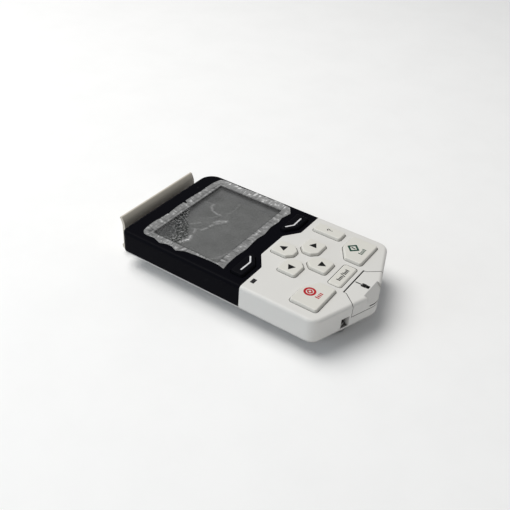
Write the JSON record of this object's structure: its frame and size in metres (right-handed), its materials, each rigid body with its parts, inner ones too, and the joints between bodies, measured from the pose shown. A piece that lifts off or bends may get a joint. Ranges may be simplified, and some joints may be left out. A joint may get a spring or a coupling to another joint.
{
  "type": "handheld drive control panel",
  "caption": "Handheld keypad with a display, softkeys, arrow, start and stop keys, hinged port cover, spring latch and rear modular jack",
  "frame": {"origin": "middle of the overall width and length, on the rear face that the panel rests on", "axes": "+X to the right of the display, +Y towards the latch end, +Z out of the display"},
  "size_m": [0.07, 0.128, 0.0218],
  "materials": {
    "white_shell": "fine satin texture",
    "black_shell": "smooth, half gloss",
    "softkey_plastic": "smooth, half gloss",
    "key_plastic": "satin",
    "clear_window": "clear, glossy",
    "clear_film": "clear, wrinkled",
    "black_foam": "matt",
    "lcd_glass": "grey reflective display",
    "amber_film": "satin",
    "cream_plastic": "satin",
    "grey_silicone": "matt",
    "smoked_plastic": "glossy",
    "led_lens": "glossy",
    "green_board": "solder resist",
    "chip_plastic": "matt",
    "capacitor_sleeve": "satin can",
    "tin_plate": "satin",
    "jack_plastic": "satin",
    "gold_contact": "bright",
    "cell_steel": "brushed",
    "rear_plastic": "fine satin texture",
    "label_stock": "satin, blank",
    "zinc_screw": "zinc plated"
  },
  "bodies": {
    "root": {"front_housing": "white_shell", "display_bezel": "black_shell", "display_window": "clear_window", "protective_film": "clear_film", "window_gasket": "black_foam", "lcd_panel": "lcd_glass", "lcd_frame": "white_shell", "lcd_ribbon": "amber_film", "ribbon_connector": "cream_plastic", "keypad_mat": "grey_silicone", "status_light_pipe": "smoked_plastic", "status_led": "led_lens", "main_board": "green_board", "board_chips": "chip_plastic", "board_capacitors": "capacitor_sleeve", "usb_socket": "tin_plate", "usb_tongue": "chip_plastic", "panel_jack": "jack_plastic", "jack_contacts": "gold_contact", "battery_holder": "chip_plastic", "battery_clip": "gold_contact", "coin_cell": "cell_steel", "rear_cover": "rear_plastic", "rear_label": "label_stock", "case_screws": "zinc_screw"},
    "key_up": {"key_up": "key_plastic"},
    "key_down": {"key_down": "key_plastic"},
    "key_left": {"key_left": "key_plastic"},
    "key_right": {"key_right": "key_plastic"},
    "key_help": {"key_help": "key_plastic"},
    "key_mode": {"key_mode": "key_plastic"},
    "key_start": {"key_start": "key_plastic"},
    "key_stop": {"key_stop": "key_plastic"},
    "softkey_left": {"softkey_left": "softkey_plastic"},
    "softkey_right": {"softkey_right": "softkey_plastic"},
    "port_cover": {"port_cover": "white_shell"},
    "latch": {"latch_clip": "rear_plastic"},
    "battery_lid": {"battery_cover": "rear_plastic", "battery_seal": "black_foam"}
  },
  "joints": [
    {"name": "key_up_press", "type": "slide", "parent": "root", "child": "key_up", "axis": [0, 0, -1], "range_m": [0, 0.0006], "stiffness_N_per_m": 900, "springref_m": -0.0005},
    {"name": "key_down_press", "type": "slide", "parent": "root", "child": "key_down", "axis": [0, 0, -1], "range_m": [0, 0.0006], "stiffness_N_per_m": 900, "springref_m": -0.0005},
    {"name": "key_left_press", "type": "slide", "parent": "root", "child": "key_left", "axis": [0, 0, -1], "range_m": [0, 0.0006], "stiffness_N_per_m": 900, "springref_m": -0.0005},
    {"name": "key_right_press", "type": "slide", "parent": "root", "child": "key_right", "axis": [0, 0, -1], "range_m": [0, 0.0006], "stiffness_N_per_m": 900, "springref_m": -0.0005},
    {"name": "key_help_press", "type": "slide", "parent": "root", "child": "key_help", "axis": [0, 0, -1], "range_m": [0, 0.0006], "stiffness_N_per_m": 900, "springref_m": -0.0005},
    {"name": "key_mode_press", "type": "slide", "parent": "root", "child": "key_mode", "axis": [0, 0, -1], "range_m": [0, 0.0006], "stiffness_N_per_m": 900, "springref_m": -0.0005},
    {"name": "key_start_press", "type": "slide", "parent": "root", "child": "key_start", "axis": [0, 0, -1], "range_m": [0, 0.0006], "stiffness_N_per_m": 900, "springref_m": -0.0005},
    {"name": "key_stop_press", "type": "slide", "parent": "root", "child": "key_stop", "axis": [0, 0, -1], "range_m": [0, 0.0006], "stiffness_N_per_m": 900, "springref_m": -0.0005},
    {"name": "softkey_left_press", "type": "slide", "parent": "root", "child": "softkey_left", "axis": [0, 0, -1], "range_m": [0, 0.0006], "stiffness_N_per_m": 900, "springref_m": -0.0005},
    {"name": "softkey_right_press", "type": "slide", "parent": "root", "child": "softkey_right", "axis": [0, 0, -1], "range_m": [0, 0.0006], "stiffness_N_per_m": 900, "springref_m": -0.0005},
    {"name": "port_cover_hinge", "type": "hinge", "parent": "root", "child": "port_cover", "pos_m": [0, -0.0523, 0.0197], "axis": [-1, 0, 0], "range_deg": [0, 85]},
    {"name": "latch_flex", "type": "hinge", "parent": "root", "child": "latch", "pos_m": [0, 0.06178, 0.004], "axis": [1, 0, 0], "range_deg": [0, 9], "stiffness_Nm_per_rad": 1, "springref_deg": -2.86},
    {"name": "battery_lid_turn", "type": "hinge", "parent": "root", "child": "battery_lid", "pos_m": [0, 0.0254, 0], "axis": [0, 0, -1], "range_deg": [0, 60]}
  ]
}
